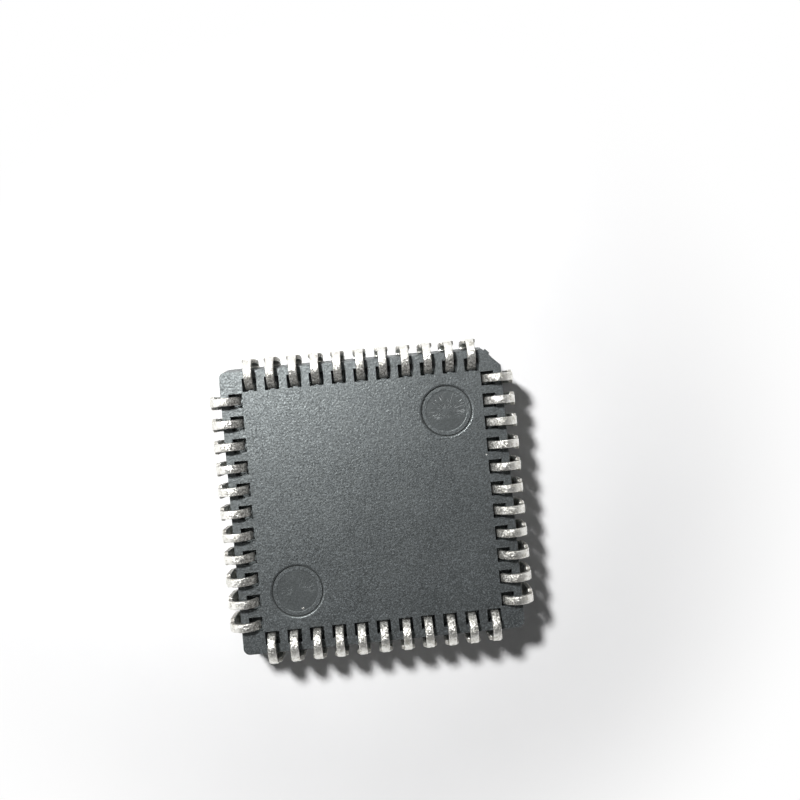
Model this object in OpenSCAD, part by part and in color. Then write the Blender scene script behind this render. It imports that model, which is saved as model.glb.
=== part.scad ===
// Square plastic leaded chip carrier with J-shaped leads on all four sides.
// It lies on its flat top face, so the underside with the lead tips looks up.
// Lengths are in millimetres. The origin is the centre of the top face, +Z points out of
// the underside, and the bevelled pin 1 corner is at +X +Y.

/* [Body] */
// Thickness of the moulded body, top face to underside
body_h = 3.73; // [3.4:0.01:4.0]
// Height of the parting line, which is also the middle of the lead frame sheet
parting_z = 1.7; // [1.5:0.01:1.9]
// Room from the last lead's half pitch to the side of the body
corner_margin = 1.305; // [1.2:0.005:1.6]
// Draft of the upper half: how far each wall leans in at the top face
top_inset = 0.18; // [0.05:0.01:0.25]
// Draft of the lower half: how far each wall leans in at the underside
under_inset = 0.26; // [0.05:0.01:0.3]
// Corner radius at the parting line
corner_r = 0.62; // [0.4:0.01:0.8]
// Bevel at the pin 1 corner, measured along each side
key_bevel = 1.14; // [1.0:0.01:1.3]
// Radius of the half-round pin 1 notch in the top edge
notch_r = 0.45; // [0.3:0.01:0.6]
// Depth of the pin 1 notch
notch_h = 0.25; // [0.1:0.01:0.4]

/* [Mould marks] */
// Distance of an ejector mark's centre from the inner ends of the pockets beside it
ejector_inset = 2.13; // [1.7:0.01:3]
// Radius of an ejector mark
ejector_r = 1.53; // [1:0.01:1.6]
// How far the wall of an ejector mark slopes in
ejector_slope = 0.11; // [0.02:0.01:0.15]
// Width of the groove at the foot of that wall
groove_w = 0.02; // [0.01:0.01:0.05]
// Width of the flat step inside the groove
ejector_step_w = 0.22; // [0.1:0.01:0.5]
// Depth of the step below the underside
ejector_step_h = 0.05; // [0.02:0.01:0.1]
// Depth of the groove below the step
groove_h = 0.08; // [0.03:0.01:0.12]
// Depth of the floor below the step
ejector_floor_h = 0.02; // [0.01:0.01:0.08]
// Width of the broken gate stub on the bevel
gate_w = 0.36; // [0.2:0.01:0.5]
// Distance of the gate stub from the middle of the bevel
gate_shift = 0.12; // [0:0.01:0.3]
// Thickness of the gate stub along Z
gate_h = 0.4; // [0.2:0.05:0.6]
// How far the gate stub stands out of the bevel
gate_out = 0.1; // [0.05:0.01:0.2]

/* [Leads] */
// Leads on each side
leads_per_side = 11; // [7:2:13]
// Lead pitch
pitch = 1.27; // [1.2:0.01:1.4]
// Thickness of the lead frame sheet
lead_t = 0.25; // [0.2:0.01:0.3]
// Width of the shoulder, where the lead leaves the body
shoulder_w = 0.77; // [0.66:0.01:0.81]
// Width of the J below the shoulder
tail_w = 0.46; // [0.33:0.01:0.53]
// Height of the step from the shoulder to the J
step_h = 0.06; // [0.03:0.01:0.15]
// Straight length between that step and the J's curl
tail_straight = 0.05; // [0.02:0.01:0.5]
// Straight length between the body and the bend
exit_len = 0.02; // [0.01:0.01:0.1]
// Inside radius of the bend outside the body
bend_r = 0.14; // [0.12:0.01:0.25]
// Outside radius of the J
j_r = 0.915; // [0.8:0.005:1.1]
// Angle through which the J curls
j_sweep = 172; // [140:1:180]
// Gap between the underside and the plane that the leads stand on
standoff = 0.64; // [0.51:0.01:0.8]

/* [Lead pockets] */
// Width of a pocket in the underside
pocket_w = 0.8; // [0.7:0.01:0.84]
// Length of a pocket, from its inner end towards the side of the body
pocket_len = 0.75; // [0.6:0.01:0.9]
// Clearance between the curl of a lead and the inner end of its pocket
pocket_gap = 0.04; // [0.02:0.01:0.15]
// Clearance between the lowest point of a full curl and the floor of its pocket
pocket_clear = 0.5; // [0.2:0.01:0.7]
// Draft of a pocket: how much narrower its floor is on each side
pocket_draft = 0.05; // [0.01:0.01:0.1]

/* [Lead frame] */
// Length of full-width lead held in the body
anchor_len = 0.9; // [0.5:0.05:1.2]
// Width of a lead's inner tip
finger_tip_w = 0.28; // [0.2:0.01:0.32]
// Gap between the inner tips and the die paddle
finger_gap = 0.35; // [0.25:0.01:0.6]
// Room beside the last inner tip at each corner
finger_corner_room = 0.8; // [0.7:0.05:1.2]
// Border of the paddle around the die
paddle_margin = 0.8; // [0.4:0.05:1]
// How far the paddle is pressed out of the lead frame plane
paddle_downset = 0.3; // [0.28:0.01:0.4]
// Width of the tie bars that held the paddle in the frame
tie_bar_w = 0.3; // [0.2:0.01:0.4]
// How far the cut ends of the tie bars stand out at the corners
tie_bar_out = 0.03; // [0.01:0.01:0.1]

/* [Die and wires] */
// Side of the square die
die_w = 4.8; // [3.6:0.1:5.6]
// Thickness of the die
die_t = 0.36; // [0.25:0.01:0.45]
// Thickness of the adhesive under the die
attach_t = 0.03; // [0.02:0.005:0.05]
// Rim of adhesive squeezed out around the die
attach_rim = 0.12; // [0.05:0.01:0.2]
// Distance of the bonds from the die's edges
pad_inset = 0.12; // [0.08:0.01:0.2]
// Room beside the last bond at each corner of the die
pad_corner_room = 0.4; // [0.3:0.05:0.6]
// Thickness of the bond wire
wire_d = 0.033; // [0.02:0.001:0.04]
// Height of the wire loop above the die
loop_h = 0.24; // [0.18:0.01:0.3]
// Straight height of the wire above its bond
neck_h = 0.1; // [0.06:0.01:0.14]
// Distance of the second bond from a lead's inner end
stitch_inset = 0.2; // [0.1:0.01:0.4]

/* [Hidden] */
$fn = 48;
overcut = 0.5;
side_angles = [90, 0, -90, 180];
lead_count = 4 * leads_per_side;
last_offset = (leads_per_side - 1) / 2;

body_half = leads_per_side * pitch / 2 + corner_margin;
contact_z = body_h + standoff;
lead_reach = body_half + exit_len + bend_r + lead_t;
lead_face_z = parting_z - lead_t / 2;
bend_z = parting_z + lead_t / 2 + bend_r;
curl_x = lead_reach - j_r;
curl_z = contact_z - j_r;
shoulder_z = curl_z - tail_straight - step_h;

pocket_end = lead_reach - 2 * j_r - pocket_gap;
pocket_h = j_r - standoff + pocket_clear;
ejector_pos = pocket_end - ejector_inset;

paddle_half = die_w / 2 + paddle_margin;
paddle_face_z = lead_face_z + paddle_downset;
finger_start = paddle_half + finger_gap;
tip_pitch = (finger_start - finger_corner_room) / last_offset;
key_distance = sqrt(2) * body_half - key_bevel / sqrt(2);
round_distance = sqrt(2) * (body_half - corner_r) + corner_r;

die_half = die_w / 2;
die_base_z = paddle_face_z - attach_t;
die_face_z = die_base_z - die_t;
pad_pitch = (die_half - pad_corner_room) / last_offset;

// Shares of a wire's span at which its loop turns over and is highest
loop_turn = 1 / 12;
loop_top = 1 / 4;
wire_sides = 6;

function two_digits(n) = str(n < 10 ? "0" : "", n);
function lead_name(n) = str("lead_", two_digits(n));

// Pin 1 is the middle lead of the +Y side. From there the count runs clockwise, seen from
// the underside, so a lead's side and its place along the side follow from its number.
function lead_step(n) = (n - 1 + last_offset) % lead_count;
function lead_side(n) = side_angles[floor(lead_step(n) / leads_per_side)];
function lead_offset(n) = last_offset - lead_step(n) % leads_per_side;

// Puts a shape that is drawn for the middle of the +X side at the place of lead n.
module at_side(n) {
    rotate(lead_side(n)) children();
}

// Inner finger, anchor and exit of a lead: one flat stretch of the lead frame sheet.
module lead_flat(n) {
    offset_out = lead_offset(n) * pitch;
    offset_in = lead_offset(n) * tip_pitch;
    at_side(n)
        translate([0, 0, lead_face_z])
            linear_extrude(lead_t)
                polygon([
                    [body_half + exit_len, offset_out - shoulder_w / 2],
                    [body_half + exit_len, offset_out + shoulder_w / 2],
                    [body_half - anchor_len, offset_out + shoulder_w / 2],
                    [finger_start, offset_in + finger_tip_w / 2],
                    [finger_start, offset_in - finger_tip_w / 2],
                    [body_half - anchor_len, offset_out - shoulder_w / 2]
                ]);
}

// Side view of everything behind the outer face of a lead, up to the top of its curl.
// The inset moves that face inwards, by the sheet's thickness for the inner face.
module behind_face(inset, left) {
    translate([lead_reach - lead_t - bend_r, bend_z])
        circle(lead_t + bend_r - inset);
    translate([left, lead_face_z + inset])
        square([lead_reach - lead_t - bend_r - left, curl_z - lead_face_z - inset]);
    translate([left, bend_z])
        square([lead_reach - inset - left, curl_z - bend_z]);
    translate([curl_x, curl_z])
        circle(j_r - inset);
}

// Side view of the bent strip: exit, bend, shank and J, all of one thickness.
module strip_side() {
    past_end = 2 * j_r;
    difference() {
        behind_face(0, body_half - anchor_len / 2);
        behind_face(lead_t, curl_x - past_end);
        translate([curl_x, curl_z])
            polygon([
                [0, 0],
                past_end * [cos(j_sweep), sin(j_sweep)],
                past_end * [-1, -1]
            ]);
    }
}

// Front view of the strip: a wide shoulder with a step to the J.
module strip_front() {
    polygon([
        [-shoulder_w / 2, 0],
        [shoulder_w / 2, 0],
        [shoulder_w / 2, shoulder_z],
        [tail_w / 2, shoulder_z + step_h],
        [tail_w / 2, contact_z + overcut],
        [-tail_w / 2, contact_z + overcut],
        [-tail_w / 2, shoulder_z + step_h],
        [-shoulder_w / 2, shoulder_z]
    ]);
}

// Part of a lead outside the body, with a stretch of its anchor.
module lead_outside(n) {
    at_side(n)
        translate([0, lead_offset(n) * pitch, 0])
            intersection() {
                rotate([90, 0, 0])
                    linear_extrude(2 * shoulder_w, center = true)
                        strip_side();
                rotate([90, 0, 90])
                    linear_extrude(lead_reach + overcut)
                        strip_front();
            }
}

// Stamped, tin-plated lead, from its inner tip to the end of the J.
module lead(n) {
    color("silver") {
        lead_flat(n);
        lead_outside(n);
    }
}

// One mould half: a square block with leaning walls, widest at z = 0.
module mould_half(height, inset) {
    wall = [[-body_half, 0], [body_half, 0], [body_half - inset, height], [inset - body_half, height]];
    corner_at = body_half - corner_r;
    difference() {
        intersection_for (angle = [0, 90])
            rotate([90, 0, angle])
                linear_extrude(3 * body_half, center = true)
                    polygon(wall);
        for (angle = [90, 180, 270])
            rotate(angle)
                difference() {
                    translate([corner_at, corner_at, -overcut])
                        cube([corner_r + overcut, corner_r + overcut, height + 2 * overcut]);
                    translate([corner_at, corner_at, 0])
                        cylinder(h = height, r1 = corner_r, r2 = corner_r - inset);
                }
        rotate([90, 0, 45])
            linear_extrude(2 * body_half, center = true)
                polygon([
                    [key_distance, 0],
                    [key_distance - inset, height],
                    [2 * body_half, height],
                    [2 * body_half, 0]
                ]);
    }
}

// Drafted recess in the underside that takes the end of a lead.
module lead_pocket(n) {
    at_side(n)
        translate([pocket_end, lead_offset(n) * pitch, body_h])
            rotate([90, 0, 90])
                linear_extrude(pocket_len)
                    polygon([
                        [-pocket_w / 2, overcut],
                        [-pocket_w / 2, 0],
                        [pocket_draft - pocket_w / 2, -pocket_h],
                        [pocket_w / 2 - pocket_draft, -pocket_h],
                        [pocket_w / 2, 0],
                        [pocket_w / 2, overcut]
                    ]);
}

// Shallow stepped disc that an ejector pin left in the underside, with a groove round it.
module ejector_mark() {
    groove_z = body_h - ejector_step_h - groove_h;
    groove_r = ejector_r - ejector_slope;
    step_r = groove_r - groove_w;
    difference() {
        translate([0, 0, groove_z])
            cylinder(h = 2 * (body_h - groove_z), r1 = groove_r, r2 = ejector_r + ejector_slope);
        cylinder(h = body_h - ejector_step_h, r = step_r);
    }
    translate([0, 0, body_h - ejector_step_h - ejector_floor_h])
        cylinder(h = overcut, r = step_r - ejector_step_w);
}

// Stub on the bevel where the moulding compound flowed in.
module gate_stub() {
    rotate(45)
        translate([key_distance - overcut, gate_shift, parting_z])
            cube([overcut + gate_out, gate_w, gate_h]);
}

// Moulded epoxy body, cast round the lead frame, the die and the wires.
module body() {
    color("#3a3b3d")
        difference() {
            union() {
                translate([0, 0, parting_z])
                    mould_half(body_h - parting_z, under_inset);
                translate([0, 0, parting_z])
                    mirror([0, 0, 1])
                        mould_half(parting_z, top_inset);
                gate_stub();
            }
            for (n = [1 : lead_count]) {
                lead_pocket(n);
                lead_flat(n);
                bond_wire(n);
            }
            for (sign = [-1, 1])
                translate([sign * ejector_pos, sign * ejector_pos, 0])
                    ejector_mark();
            translate([0, body_half - top_inset, -overcut])
                cylinder(h = overcut + notch_h, r = notch_r);
            paddle_shape();
            attach_shape();
            die_shape();
        }
}

// Bar from a paddle corner up to the lead frame plane and out to the body's corner.
module tie_bar(end_distance) {
    jog = sqrt(2) * paddle_half;
    rise = paddle_downset;
    rotate([90, 0, 45])
        linear_extrude(tie_bar_w, center = true)
            polygon([
                [0, paddle_face_z],
                [jog, paddle_face_z],
                [jog + rise, lead_face_z],
                [end_distance, lead_face_z],
                [end_distance, lead_face_z + lead_t],
                [jog + rise, lead_face_z + lead_t],
                [jog, paddle_face_z + lead_t],
                [0, paddle_face_z + lead_t]
            ]);
}

// The paddle is a square plate on four tie bars.
module paddle_shape() {
    translate([-paddle_half, -paddle_half, paddle_face_z])
        cube([2 * paddle_half, 2 * paddle_half, lead_t]);
    tie_bar(key_distance + tie_bar_out);
    for (angle = [90, 180, 270])
        rotate(angle) tie_bar(round_distance + tie_bar_out);
}

// Plate of the lead frame that carries the die.
module die_paddle() {
    color("darkgoldenrod") paddle_shape();
}

module attach_shape() {
    attach_half = die_half + attach_rim;
    translate([-attach_half, -attach_half, die_base_z])
        cube([2 * attach_half, 2 * attach_half, attach_t]);
}

// Film of silver-filled adhesive between the die and the paddle.
module die_attach() {
    color("gainsboro") attach_shape();
}

module die_shape() {
    translate([-die_half, -die_half, die_face_z])
        cube([die_w, die_w, die_t]);
}

// Silicon die, bonded face towards the top of the package.
module die() {
    color("slategray") die_shape();
}

// Wire route in its own upright plane: distance from the die bond, height above the die.
function wire_route(span) = [
    [0, 0],
    [0, neck_h],
    [span * loop_turn, (neck_h + loop_h) / 2],
    [span * loop_top, loop_h],
    [span, die_face_z - lead_face_z]
];

// Direction across the wire at each bend, stretched so that the wire keeps its thickness.
// Both ends are cut level, to lie flat on the die and on the lead.
function unit(v) = v / norm(v);
function across(v) = [v[1], -v[0]];
function wire_mitre(route, i) =
    let (
        before = across(unit(route[max(i, 1)] - route[max(i, 1) - 1])),
        after = across(unit(route[min(i + 1, len(route) - 1)] - route[min(i, len(route) - 2)])),
        between = i == 0 || i == len(route) - 1 ? [1, 0] : unit(before + after)
    )
    between / (between * before);

// Gold wire from a bond on the die to the inner tip of lead n.
module bond_wire(n) {
    sides = wire_sides;
    place = lead_offset(n);
    spread = (pitch - tip_pitch) / (body_half - anchor_len - finger_start);
    start = [die_half - pad_inset, place * pad_pitch];
    end = [finger_start + stitch_inset, place * (tip_pitch + spread * stitch_inset)];
    run = end - start;
    route = wire_route(norm(run));
    points = [
        for (i = [0 : len(route) - 1], s = [0 : sides - 1])
            let (
                turn = 360 * s / sides,
                in_plane = route[i] + wire_mitre(route, i) * sin(turn) * wire_d / 2
            )
            [in_plane[0], cos(turn) * wire_d / 2, -in_plane[1]]
    ];
    walls = [
        for (i = [0 : len(route) - 2], s = [0 : sides - 1])
            let (next = (s + 1) % sides)
            [i * sides + s, i * sides + next, (i + 1) * sides + next, (i + 1) * sides + s]
    ];
    first_cap = [for (s = [sides - 1 : -1 : 0]) s];
    last_cap = [for (s = [0 : sides - 1]) (len(route) - 1) * sides + s];
    at_side(n)
        translate([start[0], start[1], die_face_z])
            rotate(atan2(run[1], run[0]))
                polyhedron(points, concat([first_cap, last_cap], walls));
}

// The wires of all leads.
module bond_wires() {
    color("gold")
        for (n = [1 : lead_count])
            bond_wire(n);
}

body();
for (n = [1 : lead_count])
    lead(n);
die_paddle();
die_attach();
die();
bond_wires();
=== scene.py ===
import math
import random

import bmesh
import bpy
from mathutils import Euler, Matrix, Vector


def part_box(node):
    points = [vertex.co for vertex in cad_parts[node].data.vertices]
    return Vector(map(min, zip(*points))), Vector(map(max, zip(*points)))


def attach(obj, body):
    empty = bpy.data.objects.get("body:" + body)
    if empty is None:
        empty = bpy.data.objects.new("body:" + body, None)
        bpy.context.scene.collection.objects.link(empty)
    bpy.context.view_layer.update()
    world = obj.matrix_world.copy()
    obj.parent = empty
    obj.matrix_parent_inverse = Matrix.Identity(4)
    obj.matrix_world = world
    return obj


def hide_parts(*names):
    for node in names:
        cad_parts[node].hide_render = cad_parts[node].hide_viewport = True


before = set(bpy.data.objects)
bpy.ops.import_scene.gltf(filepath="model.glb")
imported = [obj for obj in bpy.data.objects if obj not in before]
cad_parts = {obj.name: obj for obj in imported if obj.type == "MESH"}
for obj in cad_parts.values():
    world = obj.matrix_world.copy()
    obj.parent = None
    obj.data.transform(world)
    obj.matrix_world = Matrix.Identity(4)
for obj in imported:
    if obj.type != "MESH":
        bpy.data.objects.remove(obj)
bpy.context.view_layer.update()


# Die paddle
# The middle plate of the stamped copper alloy lead frame, pressed out of the frame's plane to take the die.
# Four tie bars held it to the frame until the leads were cut free.
mm = 0.001
sheared_from = 10.7 * mm
sheared_to = 10.9 * mm


def group_start(name, inputs, outputs):
    """A new shader node group with the given value inputs and outputs."""
    group = bpy.data.node_groups.new(name, "ShaderNodeTree")
    for label, default in inputs.items():
        socket = group.interface.new_socket(label, in_out="INPUT", socket_type="NodeSocketFloat")
        socket.default_value = default
    for label, kind in outputs.items():
        group.interface.new_socket(label, in_out="OUTPUT", socket_type=kind)
    entry = group.nodes.new("NodeGroupInput")
    leave = group.nodes.new("NodeGroupOutput")
    return group, entry, leave


def join(tree, source, target):
    """Links two sockets of a node tree."""
    tree.links.new(source, target)


def feed(tree, source, target):
    """Fills a socket from a number, a linear RGB triple or another socket."""
    if isinstance(source, (int, float)):
        target.default_value = source
    elif isinstance(source, tuple):
        target.default_value = (*source, 1.0)
    else:
        join(tree, source, target)


def ramp_between(tree, value, low, high):
    """A value stretched so that low gives 0 and high gives 1, with a soft start and end."""
    node = tree.nodes.new("ShaderNodeMapRange")
    node.interpolation_type = "SMOOTHSTEP"
    for label, source in (("Value", value), ("From Min", low), ("From Max", high)):
        feed(tree, source, node.inputs[label])
    return node.outputs["Result"]


def maths(tree, operation, first, second=0.0):
    """One arithmetic step on sockets or numbers."""
    node = tree.nodes.new("ShaderNodeMath")
    node.operation = operation
    feed(tree, first, node.inputs[0])
    feed(tree, second, node.inputs[1])
    return node.outputs["Value"]


def vector_step(tree, operation, *vectors):
    """The node of one step on vector sockets."""
    node = tree.nodes.new("ShaderNodeVectorMath")
    node.operation = operation
    for source, target in zip(vectors, node.inputs):
        join(tree, source, target)
    return node


def blotches():
    """Soft-edged patches: Size in metres, Cover from 0 to 1, Edge the width of the change."""
    group, entry, leave = group_start(
        "blotches", {"Size": mm, "Cover": 0.5, "Edge": 0.1}, {"Mask": "NodeSocketFloat"}
    )
    place = group.nodes.new("ShaderNodeTexCoord")
    cloud = group.nodes.new("ShaderNodeTexNoise")
    cloud.inputs["Detail"].default_value = 5
    cloud.inputs["Roughness"].default_value = 0.6
    join(group, place.outputs["Object"], cloud.inputs["Vector"])
    join(group, maths(group, "DIVIDE", 1.0, entry.outputs["Size"]), cloud.inputs["Scale"])
    level = maths(group, "SUBTRACT", 0.8, maths(group, "MULTIPLY", entry.outputs["Cover"], 0.6))
    low = maths(group, "SUBTRACT", level, entry.outputs["Edge"])
    high = maths(group, "ADD", level, entry.outputs["Edge"])
    join(group, ramp_between(group, cloud.outputs["Fac"], low, high), leave.inputs["Mask"])
    return group


def material_start(name, metallic=0.0):
    """A new material: its node tree and its shader."""
    material = bpy.data.materials.new(name)
    material.use_nodes = True
    shader = material.node_tree.nodes["Principled BSDF"]
    shader.inputs["Metallic"].default_value = metallic
    return material, material.node_tree, shader


def place_group(tree, group, **values):
    """Puts a node group into a material, with its own values."""
    node = tree.nodes.new("ShaderNodeGroup")
    node.node_tree = group
    for label, value in values.items():
        node.inputs[label].default_value = value
    return node


def colour_mix(tree, share, first, second):
    """A colour between two, by a share socket. Each is a colour socket or a linear RGB triple."""
    node = tree.nodes.new("ShaderNodeMix")
    node.data_type = "RGBA"
    factor_socket, first_colour, second_colour, colour_result = 0, 6, 7, 2
    join(tree, share, node.inputs[factor_socket])
    feed(tree, first, node.inputs[first_colour])
    feed(tree, second, node.inputs[second_colour])
    return node.outputs[colour_result]


def value_mix(tree, share, first, second):
    """A number between two, by a share socket."""
    node = tree.nodes.new("ShaderNodeMapRange")
    for label, source in (("Value", share), ("To Min", first), ("To Max", second)):
        feed(tree, source, node.inputs[label])
    return node.outputs["Result"]


def dress(node_name, material):
    """Gives a CAD node its finish."""
    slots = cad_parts[node_name].data.materials
    slots.clear()
    slots.append(material)


blotches_group = blotches()


def blotched(name, light, dark, size, rough_light, rough_dark, metallic):
    """A finish of two tones in soft patches."""
    material, tree, shader = material_start(name, metallic)
    mask = place_group(tree, blotches_group, Size=size, Cover=0.5, Edge=0.12).outputs["Mask"]
    join(tree, colour_mix(tree, mask, light, dark), shader.inputs["Base Color"])
    join(tree, value_mix(tree, mask, rough_light, rough_dark), shader.inputs["Roughness"])
    return material


def bare_copper_alloy():
    """Copper alloy in two tones, pale and smeared where the ends of the tie bars were sheared off."""
    material, tree, shader = material_start("bare_copper_alloy", 1.0)
    clean_copper, dull_copper, smeared_metal = (0.42, 0.28, 0.21), (0.3, 0.2, 0.15), (0.6, 0.57, 0.52)
    mask = place_group(tree, blotches_group, Size=1.1 * mm, Cover=0.5, Edge=0.12).outputs["Mask"]
    copper = colour_mix(tree, mask, clean_copper, dull_copper)
    place = tree.nodes.new("ShaderNodeTexCoord")
    from_die = vector_step(tree, "LENGTH", place.outputs["Object"]).outputs["Value"]
    sheared = ramp_between(tree, from_die, sheared_from, sheared_to)
    join(tree, colour_mix(tree, sheared, copper, smeared_metal), shader.inputs["Base Color"])
    join(tree, value_mix(tree, mask, 0.35, 0.5), shader.inputs["Roughness"])
    return material


dress("die_paddle", bare_copper_alloy())


# Die attach
# A thin film of silver-filled epoxy, printed on the paddle and cured under the die.
dress("die_attach", blotched(
    "silver_adhesive", light=(0.62, 0.62, 0.6), dark=(0.42, 0.42, 0.41), size=0.3 * mm,
    rough_light=0.5, rough_dark=0.75, metallic=0.0,
))


# Die
# A sawn square of silicon with a glassy protective coat, seated in the adhesive film.
dress("die", blotched(
    "coated_silicon", light=(0.12, 0.13, 0.2), dark=(0.2, 0.16, 0.22), size=0.9 * mm,
    rough_light=0.1, rough_dark=0.22, metallic=0.0,
))


# Bond wires
# Drawn gold wire, bonded to the die first and stitched to the inner tip of each lead.
dress("bond_wires", blotched(
    "drawn_gold", light=(0.95, 0.62, 0.2), dark=(0.8, 0.46, 0.12), size=0.15 * mm,
    rough_light=0.2, rough_dark=0.32, metallic=1.0,
))


# Leads
# Stamped strips of copper alloy, tin-plated, cut free of the frame and bent into a J round the body's edge.
# Each runs from a narrow inner tip through its anchor, wide shoulder and shank to the curl.
lead_low, lead_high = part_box("lead_01")
lead_names = sorted(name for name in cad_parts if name.startswith("lead_"))
per_side = len(lead_names) // 4
last_place = (per_side - 1) / 2
pitch = 1.27 * mm
sheet = 0.25 * mm
shoulder_width = lead_high.x - lead_low.x
tail_width = 0.46 * mm
inner_tip_width = 0.28 * mm
inner_tip_room = 0.8 * mm
anchor_length = 0.9 * mm
exit_length = 0.02 * mm
bend_radius = 0.14 * mm
curl_radius = 0.915 * mm
curl_sweep = math.radians(172)
step_height = 0.06 * mm
tail_straight = 0.05 * mm
edge_round = 0.05 * mm
crease_angle = math.radians(50)
curl_least, curl_most = math.radians(-5), math.radians(4)
lean_most = 0.035 * mm
lean_starts_at = 0.6
finger_shares = (0.0, 0.02, 0.5, 1.0)
lead_reach = lead_high.y
frame_plane = lead_low.z + sheet / 2
bend_from = lead_reach - sheet - bend_radius
body_half = bend_from - exit_length
bend_height = frame_plane + sheet / 2 + bend_radius
curl_centre = Vector((lead_reach - curl_radius, lead_high.z - curl_radius))
inner_tip = lead_low.y
inner_pitch = (inner_tip - inner_tip_room) / last_place
variation = random.Random(44)


def add_object(name, data):
    """A new object in the scene."""
    piece = bpy.data.objects.new(name, data)
    bpy.context.scene.collection.objects.link(piece)
    return piece


def lead_stations(place, sweep):
    """Points along the middle of the strip: distance out, height, direction, sideways place and width."""
    stations = []
    flat = Vector((1, 0))
    up = Vector((0, 1))
    for share in finger_shares:
        stations.append((
            Vector((inner_tip + share * (body_half - anchor_length - inner_tip), frame_plane)), flat,
            place * (inner_pitch + share * (pitch - inner_pitch)),
            inner_tip_width + share * (shoulder_width - inner_tip_width),
        ))
    side = place * pitch
    stations.append((Vector((body_half, frame_plane)), flat, side, shoulder_width))
    bend_steps = 10
    for step in range(bend_steps + 1):
        angle = math.radians(90) * step / bend_steps
        out = Vector((math.sin(angle), -math.cos(angle)))
        middle = Vector((bend_from, bend_height)) + out * (bend_radius + sheet / 2)
        stations.append((middle, Vector((math.cos(angle), math.sin(angle))), side, shoulder_width))
    shank = lead_reach - sheet / 2
    shoulder_end = curl_centre.y - tail_straight - step_height
    ease = 0.02 * mm
    for above, width in (
        (-2 * ease, shoulder_width),
        (-ease / 2, shoulder_width - ease / 2),
        (ease / 2, shoulder_width - 2 * ease),
        (step_height - ease, tail_width + 2 * ease),
        (step_height, tail_width),
    ):
        stations.append((Vector((shank, shoulder_end + above)), up, side, width))
    curl_steps = 40
    for step in range(curl_steps + 1):
        angle = sweep * step / curl_steps
        out = Vector((math.cos(angle), math.sin(angle)))
        middle = curl_centre + out * (curl_radius - sheet / 2)
        stations.append((middle, Vector((-math.sin(angle), math.cos(angle))), side, tail_width))
    return stations


def strip_section(width):
    """Corners of the strip's rounded section: sideways and through the sheet."""
    corner_steps = 3
    points = []
    for turn, (across, through) in enumerate(((1, 1), (-1, 1), (-1, -1), (1, -1))):
        for step in range(corner_steps + 1):
            angle = math.radians(90) * (turn + step / corner_steps)
            points.append((
                across * (width / 2 - edge_round) + edge_round * math.cos(angle),
                through * (sheet / 2 - edge_round) + edge_round * math.sin(angle),
            ))
    return points


def lead_mesh(name, turn, place):
    """One lead, drawn for the +X side and turned to its own side."""
    stations = lead_stations(place, curl_sweep + variation.uniform(curl_least, curl_most))
    lean = variation.uniform(-lean_most, lean_most)
    mesh = bpy.data.meshes.new(name)
    built = bmesh.new()
    unwrapped = built.loops.layers.uv.new("along_lead")
    rings = []
    run = [0.0]
    for before, after in zip(stations, stations[1:]):
        run.append(run[-1] + (after[0] - before[0]).length)
    first, last = 0, len(stations) - 1
    for index, (middle, ahead, side, width) in enumerate(stations):
        normal = Vector((ahead.y, -ahead.x))
        leaning = lean * max(0.0, (run[index] / run[-1] - lean_starts_at) / (1 - lean_starts_at))
        ring = []
        for across, through in strip_section(width):
            if index in (first, last):
                across *= 1 - 2 * edge_round / width
                through *= 1 - 2 * edge_round / sheet
            spot = middle + normal * through
            if index == last:
                spot += ahead * edge_round
            ring.append(built.verts.new(turn @ Vector((spot.x, side + leaning + across, spot.y))))
        rings.append(ring)
    count = len(rings[0])
    for index in range(last):
        for step in range(count):
            following = (step + 1) % count
            face = built.faces.new((
                rings[index][step], rings[index][following],
                rings[index + 1][following], rings[index + 1][step],
            ))
            face.smooth = True
            corners = ((index, step), (index, step + 1), (index + 1, step + 1), (index + 1, step))
            for loop, (station, around) in zip(face.loops, corners):
                loop[unwrapped].uv = (run[station] / run[-1], around / count)
    for ring, share in ((rings[first][::-1], 0.0), (rings[last], 1.0)):
        face = built.faces.new(ring)
        for loop in face.loops:
            loop[unwrapped].uv = (share, 0.5)
    bmesh.ops.recalc_face_normals(built, faces=built.faces)
    built.to_mesh(mesh)
    built.free()
    mesh.set_sharp_from_angle(angle=crease_angle)
    return add_object(name, mesh)


def scratches():
    """Fine straight scratches in two directions: Size is their spacing in metres, Amount their share."""
    group, entry, leave = group_start(
        "scratches", {"Size": 0.5 * mm, "Amount": 0.5}, {"Mask": "NodeSocketFloat"}
    )
    place = group.nodes.new("ShaderNodeTexCoord")
    masks = []
    for angle, stretch in ((35, 0.035), (-60, 0.05)):
        turned = group.nodes.new("ShaderNodeMapping")
        turned.inputs["Rotation"].default_value = (0, 0, math.radians(angle))
        turned.inputs["Scale"].default_value = (stretch, 1, stretch)
        join(group, place.outputs["Object"], turned.inputs["Vector"])
        streaks = group.nodes.new("ShaderNodeTexNoise")
        streaks.inputs["Detail"].default_value = 3
        join(group, turned.outputs["Vector"], streaks.inputs["Vector"])
        join(group, maths(group, "DIVIDE", 1.0, entry.outputs["Size"]), streaks.inputs["Scale"])
        level = maths(group, "SUBTRACT", 0.86, maths(group, "MULTIPLY", entry.outputs["Amount"], 0.3))
        full = maths(group, "ADD", level, 0.05)
        masks.append(ramp_between(group, streaks.outputs["Fac"], level, full))
    join(group, maths(group, "MAXIMUM", *masks), leave.inputs["Mask"])
    return group


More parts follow.
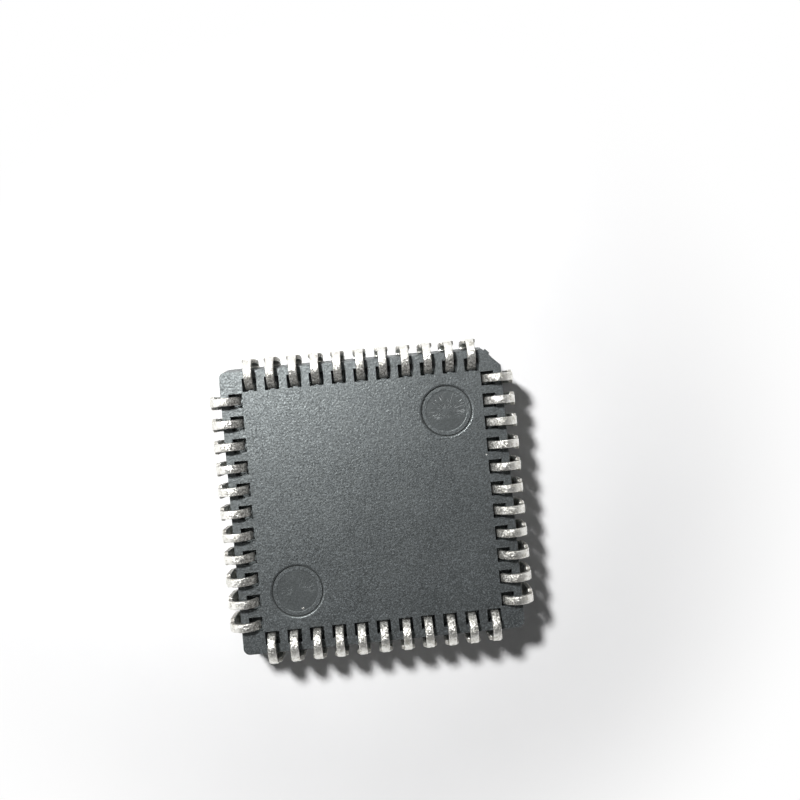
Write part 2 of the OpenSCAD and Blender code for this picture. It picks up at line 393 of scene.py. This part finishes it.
def facets():
    """Small cells, each with its own lightness from 0 to 1 and lean of the surface: Size in metres."""
    group, entry, leave = group_start(
        "facets", {"Size": 0.1 * mm, "Lean": 0.1},
        {"Fleck": "NodeSocketFloat", "Normal": "NodeSocketVector"},
    )
    place = group.nodes.new("ShaderNodeTexCoord")
    cells = group.nodes.new("ShaderNodeTexVoronoi")
    join(group, place.outputs["Object"], cells.inputs["Vector"])
    join(group, maths(group, "DIVIDE", 1.0, entry.outputs["Size"]), cells.inputs["Scale"])
    tones = group.nodes.new("ShaderNodeSeparateColor")
    join(group, cells.outputs["Color"], tones.inputs["Color"])
    join(group, tones.outputs["Red"], leave.inputs["Fleck"])
    centred = vector_step(group, "SUBTRACT", cells.outputs["Color"])
    centred.inputs[1].default_value = (0.5, 0.5, 0.5)
    leaning = vector_step(group, "SCALE", centred.outputs["Vector"])
    join(group, entry.outputs["Lean"], leaning.inputs["Scale"])
    surface = group.nodes.new("ShaderNodeNewGeometry")
    tilted = vector_step(group, "ADD", surface.outputs["Normal"], leaning.outputs["Vector"])
    even = vector_step(group, "NORMALIZE", tilted.outputs["Vector"])
    join(group, even.outputs["Vector"], leave.inputs["Normal"])
    return group


scratches_group = scratches()
facets_group = facets()


def tin_plate():
    """Tin plate, dulled in patches and scratched, with shade painted towards the curl's end, and with
    duller cut edges.
    """
    material, tree, shader = material_start("tin_plate", 1.0)
    bright_tin, dull_tin, cut_tin = (0.92, 0.912, 0.87), (0.5, 0.48, 0.41), (0.25, 0.243, 0.22)
    # The first of these tones is painted shade for the curl's end.
    painted_tip_shade, stain_tone, scratch_tone = (0.3, 0.295, 0.28), (0.2, 0.196, 0.182), (0.7, 0.68, 0.63)
    along = tree.nodes.new("ShaderNodeUVMap")
    along.uv_map = "along_lead"
    split = tree.nodes.new("ShaderNodeSeparateXYZ")
    join(tree, along.outputs["UV"], split.inputs["Vector"])
    end = ramp_between(tree, split.outputs["X"], 0.82, 0.93)
    doubled = maths(tree, "FRACT", maths(tree, "MULTIPLY", split.outputs["Y"], 2.0))
    cut_edge = ramp_between(tree, doubled, 0.7, 0.88)
    dull = place_group(tree, blotches_group, Size=0.25 * mm, Cover=0.45, Edge=0.12).outputs["Mask"]
    stain = place_group(tree, blotches_group, Size=0.11 * mm, Cover=0.5, Edge=0.1).outputs["Mask"]
    crystals = place_group(tree, facets_group, Size=0.08 * mm, Lean=0.3)
    marked = place_group(tree, scratches_group, Size=0.09 * mm, Amount=0.5).outputs["Mask"]
    stained = maths(tree, "MULTIPLY", end, stain)
    mottled = maths(tree, "MULTIPLY", dull, crystals.outputs["Fleck"])
    plain = colour_mix(tree, mottled, bright_tin, dull_tin)
    trimmed = colour_mix(tree, maths(tree, "MULTIPLY", cut_edge, 0.7), plain, cut_tin)
    # Painted shade: the curl's end, which dips into its pocket, is darkened towards dark grey.
    darkened = colour_mix(tree, maths(tree, "MULTIPLY", end, 0.45), trimmed, painted_tip_shade)
    spotted = colour_mix(tree, stained, darkened, stain_tone)
    join(tree, colour_mix(tree, marked, spotted, scratch_tone), shader.inputs["Base Color"])
    worn = maths(tree, "ADD", value_mix(tree, dull, 0.34, 0.46), maths(tree, "MULTIPLY", cut_edge, 0.2))
    rough = maths(tree, "ADD", worn, maths(tree, "MULTIPLY", stained, 0.15))
    join(tree, rough, shader.inputs["Roughness"])
    ripple = place_group(tree, blotches_group, Size=0.16 * mm, Cover=0.5, Edge=0.3).outputs["Mask"]
    height = maths(tree, "SUBTRACT", ripple, maths(tree, "MULTIPLY", marked, 0.3))
    bump = tree.nodes.new("ShaderNodeBump")
    bump.inputs["Distance"].default_value = 0.02 * mm
    bump.inputs["Strength"].default_value = 0.9
    join(tree, crystals.outputs["Normal"], bump.inputs["Normal"])
    join(tree, height, bump.inputs["Height"])
    join(tree, bump.outputs["Normal"], shader.inputs["Normal"])
    return material


tin = tin_plate()
side_turns = (90, 0, -90, 180)
for number, cad_name in enumerate(lead_names, start=1):
    counted = int(number - 1 + last_place) % len(lead_names)
    turn = Matrix.Rotation(math.radians(side_turns[counted // per_side]), 3, "Z")
    lead = lead_mesh("plated_" + cad_name, turn, last_place - counted % per_side)
    lead.data.materials.append(tin)
    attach(lead, "root")
    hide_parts(cad_name)


# Body
# Black epoxy moulding compound, transfer-moulded round the lead frame in a two-part mould.
# The underside has a pocket for each curl, two ejector marks, and a gate stub on the pin 1 bevel.
body_height = 3.73 * mm
top_lean = 0.18 * mm
under_lean = 0.26 * mm
corner_radius = 0.62 * mm
key_bevel = 1.14 * mm
pocket_width = 0.8 * mm
pocket_length = 0.75 * mm
pocket_lean = 0.05 * mm
pocket_room = 0.5 * mm
pocket_gap = 0.04 * mm
pocket_floor = lead_high.z - curl_radius - pocket_room
pocket_end = lead_reach - 2 * curl_radius - pocket_gap
ejector_inset = 2.13 * mm
ejector_place = pocket_end - ejector_inset
ejector_radius = 1.53 * mm
ejector_slope = 0.11 * mm
groove_width = 0.02 * mm
groove_depth = 0.08 * mm
ejector_step = 0.22 * mm
ejector_step_depth = 0.05 * mm
ejector_floor_depth = 0.02 * mm
step_radius = ejector_radius - ejector_slope - groove_width
floor_radius = step_radius - ejector_step
notch_radius = 0.45 * mm
notch_depth = 0.25 * mm
gate_size = Vector((0.1, 0.36, 0.4)) * mm
gate_shift = 0.12 * mm
gate_root = 0.5 * mm
edge_softness = 0.03 * mm
softened_angle = math.radians(75)
key_distance = math.sqrt(2) * body_half - key_bevel / math.sqrt(2)


def outline(lean):
    """The body's outline, leaning in from the parting line: three round corners and the bevel."""
    half = body_half - lean
    meet = math.sqrt(2) * (key_distance - lean) - half
    points = [Vector((half, meet)), Vector((meet, half))]
    corner_steps = 8
    centre = body_half - corner_radius
    for turn, (x, y) in enumerate(((-1, 1), (-1, -1), (1, -1)), start=1):
        for step in range(corner_steps + 1):
            angle = math.radians(90) * (turn + step / corner_steps)
            out = Vector((math.cos(angle), math.sin(angle)))
            points.append(Vector((x, y)) * centre + out * (corner_radius - lean))
    return points


def loft(built, rings):
    """A closed solid through rings of points, all with the same count, from the lowest up."""
    loops = [[built.verts.new(point) for point in ring] for ring in rings]
    count = len(loops[0])
    built.faces.new(loops[0][::-1])
    built.faces.new(loops[-1])
    for below, above in zip(loops, loops[1:]):
        for step in range(count):
            following = (step + 1) % count
            built.faces.new((below[step], below[following], above[following], above[step]))


def solid(name, rings_of_each):
    """A throwaway object of closed solids, in millimetres, for cutting and joining."""
    built = bmesh.new()
    for rings in rings_of_each:
        loft(built, [[Vector(point) / mm for point in ring] for ring in rings])
    bmesh.ops.recalc_face_normals(built, faces=built.faces)
    for face in built.faces:
        face.smooth = True
    mesh = bpy.data.meshes.new(name)
    built.to_mesh(mesh)
    built.free()
    return add_object(name, mesh)


def at_height(points, height):
    """Flat points lifted to a height."""
    return [Vector((point.x, point.y, height)) for point in points]


def disc(centre, radius, height):
    """A ring of points round a centre."""
    steps = 96
    points = []
    for step in range(steps):
        angle = 2 * math.pi * step / steps
        points.append(Vector((
            centre.x + radius * math.cos(angle), centre.y + radius * math.sin(angle), height,
        )))
    return points


def pocket_rings(turn, place):
    """The drafted pocket of one lead: floor, mouth and a stretch above the underside."""
    rings = []
    near, far = pocket_end, pocket_end + pocket_length
    for lean, height in ((pocket_lean, pocket_floor), (0, body_height), (0, body_height + sheet)):
        left = place * pitch - (pocket_width / 2 - lean)
        right = place * pitch + (pocket_width / 2 - lean)
        corners = ((near, left), (far, left), (far, right), (near, right))
        rings.append([turn @ Vector((x, y, height)) for x, y in corners])
    return rings


def ejector_rings(sign):
    """An ejector mark with soft edges: floor, step, groove and sloping wall, from the middle outwards."""
    centre = Vector((sign * ejector_place, sign * ejector_place))
    soft = 0.015 * mm
    step = body_height - ejector_step_depth
    groove = step - groove_depth
    profile = [
        (floor_radius - soft / 2, step - ejector_floor_depth),
        (floor_radius + soft / 2, step),
        (step_radius - soft, step),
        (step_radius, step - soft),
        (step_radius + soft / 2, groove + soft),
        (step_radius + soft, groove),
    ]
    lip_steps = 6
    for lip_step in range(lip_steps + 1):
        angle = math.radians(10 + 80 * lip_step / lip_steps)
        profile.append((
            ejector_radius + 2 * soft - (ejector_slope + soft) * math.cos(angle),
            groove + (body_height - groove) * math.sin(angle),
        ))
    profile.append((ejector_radius + 2 * soft, body_height + sheet))
    return [disc(centre, radius, height) for radius, height in profile]


def gate_rings():
    """The gate stub, from inside the bevel outwards, above the parting line."""
    diagonal = Matrix.Rotation(math.radians(45), 3, "Z")
    inside = key_distance - gate_root
    outside = key_distance + gate_size.x
    far_side = gate_shift + gate_size.y
    corners = ((inside, gate_shift), (outside, gate_shift), (outside, far_side), (inside, far_side))
    return [
        [diagonal @ Vector((x, y, height)) for x, y in corners]
        for height in (frame_plane, frame_plane + gate_size.z)
    ]


block = solid("block", [[
    at_height(outline(top_lean), 0),
    at_height(outline(0), frame_plane),
    at_height(outline(under_lean), body_height),
]])
gate = solid("gate", [gate_rings()])
cut_shapes = [ejector_rings(1), ejector_rings(-1)]
notch_centre = Vector((0, body_half - top_lean))
cut_shapes.append([disc(notch_centre, notch_radius, -sheet), disc(notch_centre, notch_radius, notch_depth)])
for side_turn in side_turns:
    turn = Matrix.Rotation(math.radians(side_turn), 3, "Z")
    for index in range(per_side):
        cut_shapes.append(pocket_rings(turn, index - last_place))
cuts = solid("cuts", cut_shapes)
for name, operation, tool in (("gate", "UNION", gate), ("cuts", "DIFFERENCE", cuts)):
    step = block.modifiers.new(name, "BOOLEAN")
    step.operation = operation
    step.object = tool
    step.solver = "EXACT"
soften = block.modifiers.new("soften", "BEVEL")
soften.width = edge_softness / mm
soften.segments = 2
soften.limit_method = "ANGLE"
soften.angle_limit = softened_angle
level = block.modifiers.new("level", "WEIGHTED_NORMAL")
level.mode = "FACE_AREA"
level.weight = 100
bpy.context.view_layer.update()
finished = block.evaluated_get(bpy.context.evaluated_depsgraph_get())
body_mesh = bpy.data.meshes.new_from_object(finished)
body_mesh.transform(Matrix.Scale(mm, 4))
for tool in (block, gate, cuts):
    bpy.data.objects.remove(tool)
body = add_object("moulded_body", body_mesh)


def mould_grain():
    """The uneven skin that a spark-eroded mould leaves: Size in metres."""
    group, entry, leave = group_start("mould_grain", {"Size": 0.1 * mm}, {"Height": "NodeSocketFloat"})
    place = group.nodes.new("ShaderNodeTexCoord")
    pits = group.nodes.new("ShaderNodeTexNoise")
    pits.inputs["Detail"].default_value = 2
    join(group, place.outputs["Object"], pits.inputs["Vector"])
    join(group, maths(group, "DIVIDE", 1.0, entry.outputs["Size"]), pits.inputs["Scale"])
    join(group, pits.outputs["Fac"], leave.inputs["Height"])
    return group


def pin_marks():
    """The smooth face of an ejector mark, the scratches that fan out on it and the shade painted into its
    groove.
    """
    strokes_round, strokes_out, pattern = 8.0, 1.3, 2.3
    below_marks = body_height - 0.4 * mm
    inside_marks = body_height - 0.3 * mm
    group, entry, leave = group_start(
        "pin_marks", {"Across": 0.0, "Along": 0.0, "Radius": mm},
        {"Scratch": "NodeSocketFloat", "Face": "NodeSocketFloat", "Groove": "NodeSocketFloat"},
    )
    place = group.nodes.new("ShaderNodeTexCoord")
    split = group.nodes.new("ShaderNodeSeparateXYZ")
    join(group, place.outputs["Object"], split.inputs["Vector"])
    across = maths(group, "SUBTRACT", split.outputs["X"], entry.outputs["Across"])
    along = maths(group, "SUBTRACT", split.outputs["Y"], entry.outputs["Along"])
    across_squared = maths(group, "MULTIPLY", across, across)
    along_squared = maths(group, "MULTIPLY", along, along)
    distance = maths(group, "SQRT", maths(group, "ADD", across_squared, along_squared))
    out = maths(group, "DIVIDE", distance, entry.outputs["Radius"])
    bearing = maths(group, "ARCTAN2", along, across)
    polar = group.nodes.new("ShaderNodeCombineXYZ")
    join(group, maths(group, "MULTIPLY", bearing, strokes_round), polar.inputs["X"])
    join(group, maths(group, "MULTIPLY", out, strokes_out), polar.inputs["Y"])
    polar.inputs["Z"].default_value = pattern
    streaks = group.nodes.new("ShaderNodeTexNoise")
    streaks.inputs["Scale"].default_value = 1.8
    streaks.inputs["Detail"].default_value = 2
    streaks.inputs["Distortion"].default_value = 0.08
    join(group, polar.outputs["Vector"], streaks.inputs["Vector"])
    lines = ramp_between(group, streaks.outputs["Fac"], 0.55, 0.63)
    off_centre = ramp_between(group, out, 0.1, 0.3)
    off_rim = ramp_between(group, out, 0.95, 0.75)
    ring = maths(group, "MULTIPLY", off_centre, off_rim)
    fan = ramp_between(group, maths(group, "DIVIDE", along, entry.outputs["Radius"]), -0.45, 0.05)
    upper = ramp_between(group, split.outputs["Z"], below_marks, inside_marks)
    reach = maths(group, "MULTIPLY", maths(group, "MULTIPLY", ring, fan), upper)
    join(group, maths(group, "MULTIPLY", lines, reach), leave.inputs["Scratch"])
    # Groove marks the foot of the groove, where the epoxy paints shade near black.
    past_step = ramp_between(group, out, 1.165, 1.185)
    before_wall = ramp_between(group, out, 1.265, 1.235)
    foot = maths(group, "MULTIPLY", past_step, before_wall)
    join(group, maths(group, "MULTIPLY", foot, upper), leave.inputs["Groove"])
    face = ramp_between(group, out, 1.02, 0.98)
    join(group, maths(group, "MULTIPLY", face, upper), leave.inputs["Face"])
    return group


def epoxy():
    """Charcoal moulding compound with fine grain, faint scuffs and scratched ejector marks."""
    material, tree, shader = material_start("moulded_epoxy")
    compound, filler_speck = (0.0092, 0.0101, 0.0107), (0.112, 0.123, 0.13)
    # The last of these tones is painted shade for the ejector marks' grooves.
    scratch_tone, scuff_tone, groove_shade_tone = (0.26, 0.27, 0.275), (0.2, 0.205, 0.21), (0.004, 0.004, 0.004)
    shader.inputs["Specular Tint"].default_value = (0.92, 1.0, 1.0, 1.0)
    shader.inputs["Specular IOR Level"].default_value = 1.0
    shader.inputs["IOR"].default_value = 1.62
    marks = [
        place_group(tree, pin_marks_group, Across=sign * ejector_place, Along=sign * ejector_place,
                    Radius=floor_radius)
        for sign in (1, -1)
    ]
    faint = maths(tree, "MULTIPLY", marks[1].outputs["Scratch"], 0.1)
    pinned = maths(tree, "ADD", marks[0].outputs["Scratch"], faint)
    smooth = maths(tree, "ADD", marks[0].outputs["Face"], marks[1].outputs["Face"])
    groove_shade = maths(tree, "ADD", marks[0].outputs["Groove"], marks[1].outputs["Groove"])
    coarse = value_mix(tree, smooth, 1.0, 0.4)
    skin = place_group(tree, facets_group, Size=0.05 * mm)
    join(tree, value_mix(tree, smooth, 0.16, 0.05), skin.inputs["Lean"])
    speck = maths(tree, "MULTIPLY", maths(tree, "POWER", skin.outputs["Fleck"], 3.0), coarse)
    plain = colour_mix(tree, speck, compound, filler_speck)
    base = colour_mix(tree, maths(tree, "MULTIPLY", pinned, 0.7), plain, scratch_tone)
    scuff = place_group(tree, scratches_group, Size=0.2 * mm, Amount=0.42).outputs["Mask"]
    scuffed = colour_mix(tree, maths(tree, "MULTIPLY", scuff, 0.35), base, scuff_tone)
    # Painted shade: the foot of each ejector mark's groove is darkened to near black, and made rougher.
    join(tree, colour_mix(tree, groove_shade, scuffed, groove_shade_tone), shader.inputs["Base Color"])
    patch = place_group(tree, blotches_group, Size=3 * mm, Cover=0.5, Edge=0.25).outputs["Mask"]
    matt = maths(tree, "ADD", value_mix(tree, patch, 0.41, 0.47), maths(tree, "MULTIPLY", groove_shade, 0.4))
    join(tree, matt, shader.inputs["Roughness"])
    grain = place_group(tree, mould_grain(), Size=0.12 * mm).outputs["Height"]
    bump = tree.nodes.new("ShaderNodeBump")
    bump.inputs["Distance"].default_value = 0.012 * mm
    bump.inputs["Strength"].default_value = 1.0
    join(tree, skin.outputs["Normal"], bump.inputs["Normal"])
    dents = maths(tree, "ADD", maths(tree, "MULTIPLY", pinned, 2.0), maths(tree, "MULTIPLY", smooth, 0.2))
    height = maths(tree, "SUBTRACT", maths(tree, "MULTIPLY", grain, coarse), dents)
    join(tree, height, bump.inputs["Height"])
    join(tree, bump.outputs["Normal"], shader.inputs["Normal"])
    return material


pin_marks_group = pin_marks()
body.data.materials.append(epoxy())
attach(body, "root")
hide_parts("body")


# Dust
# Two pale flecks of dust that lie on the underside, one beside a pocket and one in an ejector mark.
def dust_fleck(name, across, along, base, length, width):
    """A low crumb of dust, longer than wide, on the surface at the given height."""
    steps = 7
    heading = math.radians(40)
    crown_share = 0.6
    built = bmesh.new()
    foot = []
    crown = []
    for step in range(steps):
        angle = 2 * math.pi * step / steps
        reach = variation.uniform(0.75, 1.0) / 2
        spot = Vector((length * reach * math.cos(angle), width * reach * math.sin(angle), 0))
        foot.append(built.verts.new(spot))
        lift = Vector((0, 0, width * variation.uniform(0.3, 0.5)))
        crown.append(built.verts.new(spot * crown_share + lift))
    built.faces.new(foot[::-1])
    built.faces.new(crown)
    for step in range(steps):
        following = (step + 1) % steps
        built.faces.new((foot[step], foot[following], crown[following], crown[step]))
    mesh = bpy.data.meshes.new(name)
    built.to_mesh(mesh)
    built.free()
    mesh.transform(Matrix.Translation((across, along, base)) @ Matrix.Rotation(heading, 4, "Z"))
    mesh.materials.append(dust)
    crumb = add_object(name, mesh)
    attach(crumb, "root")


dust = blotched(
    "dust", light=(0.85, 0.84, 0.8), dark=(0.6, 0.58, 0.54), size=0.05 * mm,
    rough_light=0.6, rough_dark=0.8, metallic=0.0,
)
ejector_base = body_height - ejector_step_depth - ejector_floor_depth
dust_fleck(
    "dust_beside_pocket", across=6.74 * mm, along=1.99 * mm, base=body_height,
    length=0.11 * mm, width=0.09 * mm,
)
dust_fleck(
    "dust_in_mark", across=-4.49 * mm, along=-5.72 * mm, base=ejector_base,
    length=0.2 * mm, width=0.1 * mm,
)


# Floor
# A sheet of white paper, which the part lies on. Away from the part it is seen as plain white.
floor_half = 250 * mm
shade_ends, white_from = 14 * mm, 30 * mm
pale_paper, grey_paper = (0.85, 0.85, 0.855), (0.82, 0.82, 0.825)
floor_mesh = bpy.data.meshes.new("paper_floor")
floor_corners = [(-floor_half, -floor_half, 0), (floor_half, -floor_half, 0),
                 (floor_half, floor_half, 0), (-floor_half, floor_half, 0)]
floor_mesh.from_pydata(floor_corners, [], [(0, 1, 2, 3)])
floor = add_object("paper_floor", floor_mesh)
paper, paper_tree, paper_shader = material_start("white_paper")
paper_mask = place_group(paper_tree, blotches_group, Size=12 * mm, Cover=0.5, Edge=0.3).outputs["Mask"]
paper_tone = colour_mix(paper_tree, paper_mask, pale_paper, grey_paper)
join(paper_tree, paper_tone, paper_shader.inputs["Base Color"])
paper_shader.inputs["Roughness"].default_value = 0.9
white = paper_tree.nodes.new("ShaderNodeEmission")
paper_place = paper_tree.nodes.new("ShaderNodeTexCoord")
from_middle = vector_step(paper_tree, "LENGTH", paper_place.outputs["Object"]).outputs["Value"]
away = ramp_between(paper_tree, from_middle, shade_ends, white_from)
path = paper_tree.nodes.new("ShaderNodeLightPath")
mirrored = maths(paper_tree, "MAXIMUM", path.outputs["Is Glossy Ray"], path.outputs["Is Transmission Ray"])
seen = maths(paper_tree, "MAXIMUM", path.outputs["Is Camera Ray"], mirrored)
blend = paper_tree.nodes.new("ShaderNodeMixShader")
join(paper_tree, maths(paper_tree, "MULTIPLY", away, seen), blend.inputs["Fac"])
join(paper_tree, paper_shader.outputs["BSDF"], blend.inputs[1])
join(paper_tree, white.outputs["Emission"], blend.inputs[2])
join(paper_tree, blend.outputs["Shader"], paper_tree.nodes["Material Output"].inputs["Surface"])
floor_mesh.materials.append(paper)


# Light
# A soft lamp up and to the left of the camera, and a dim surround that the camera sees as plain white.
# Two low panels and a pale horizon show only as reflections, most of all in the metal.
key_place = Vector((-26, 38, 76)) * mm
key_size, key_glow = 10 * mm, 328
panel_size, panel_glow = 80 * mm, 1.15
panel_reach, panel_height = 100 * mm, 55 * mm
dim_sky, bright_sky, mirror_sky = 0.08, 1.0, 0.75
horizon_ends, zenith_starts = 0.3, 0.75


def area_lamp(name, place, aim, size, glow, only_mirrored=False):
    """A square soft lamp that looks at a point, with the glow of its face as a radiance."""
    lamp = bpy.data.lights.new(name, "AREA")
    lamp.size = size
    lamp.energy = math.pi * size * size * glow
    holder = add_object(name, lamp)
    holder.location = place
    holder.rotation_euler = (aim - place).to_track_quat("-Z", "Y").to_euler()
    holder.visible_diffuse = not only_mirrored


middle = Vector((0, 0, body_height))
area_lamp("key_lamp", key_place, middle, key_size, key_glow)
for name, place in (
    ("left_panel", Vector((-panel_reach, 0, panel_height))),
    ("far_panel", Vector((0, panel_reach, panel_height))),
):
    area_lamp(name, place, middle, panel_size, panel_glow, only_mirrored=True)
world = bpy.data.worlds.new("surround")
bpy.context.scene.world = world
world.use_nodes = True
sky = world.node_tree
sky_way = sky.nodes.new("ShaderNodeTexCoord")
sky_split = sky.nodes.new("ShaderNodeSeparateXYZ")
join(sky, sky_way.outputs["Generated"], sky_split.inputs["Vector"])
overhead = ramp_between(sky, sky_split.outputs["Z"], horizon_ends, zenith_starts)
sky_path = sky.nodes.new("ShaderNodeLightPath")
sky_mirrored = maths(
    sky, "MAXIMUM", sky_path.outputs["Is Glossy Ray"], sky_path.outputs["Is Transmission Ray"],
)
sky_shown = maths(sky, "MULTIPLY", sky_mirrored, value_mix(sky, overhead, mirror_sky - dim_sky, 0.0))
sky_seen = maths(sky, "MULTIPLY", sky_path.outputs["Is Camera Ray"], bright_sky - dim_sky)
sky_level = maths(sky, "ADD", maths(sky, "ADD", sky_shown, sky_seen), dim_sky)
join(sky, sky_level, sky.nodes["Background"].inputs["Strength"])
sky.nodes["Background"].inputs["Color"].default_value = (1, 1, 1, 1)


# Camera
# It looks almost straight down on the underside, a little to one side and turned about the view.
focal_length_px = 800
image_px = 800
camera_turn = Euler((math.radians(-0.27), math.radians(1.94), math.radians(5.31)))
camera_offset = Vector((-1.57, -5.73, -45.58)) * mm
camera_data = bpy.data.cameras.new("camera")
camera_data.sensor_width = 36
camera_data.lens = camera_data.sensor_width * focal_length_px / image_px
camera_data.clip_start = 1 * mm
camera = add_object("camera", camera_data)
camera.matrix_world = (
    Matrix.Translation(middle)
    @ camera_turn.to_matrix().to_4x4().inverted()
    @ Matrix.Translation(-camera_offset)
)
bpy.context.scene.camera = camera
bpy.context.scene.view_settings.view_transform = "Standard"

bpy.context.view_layer.update()
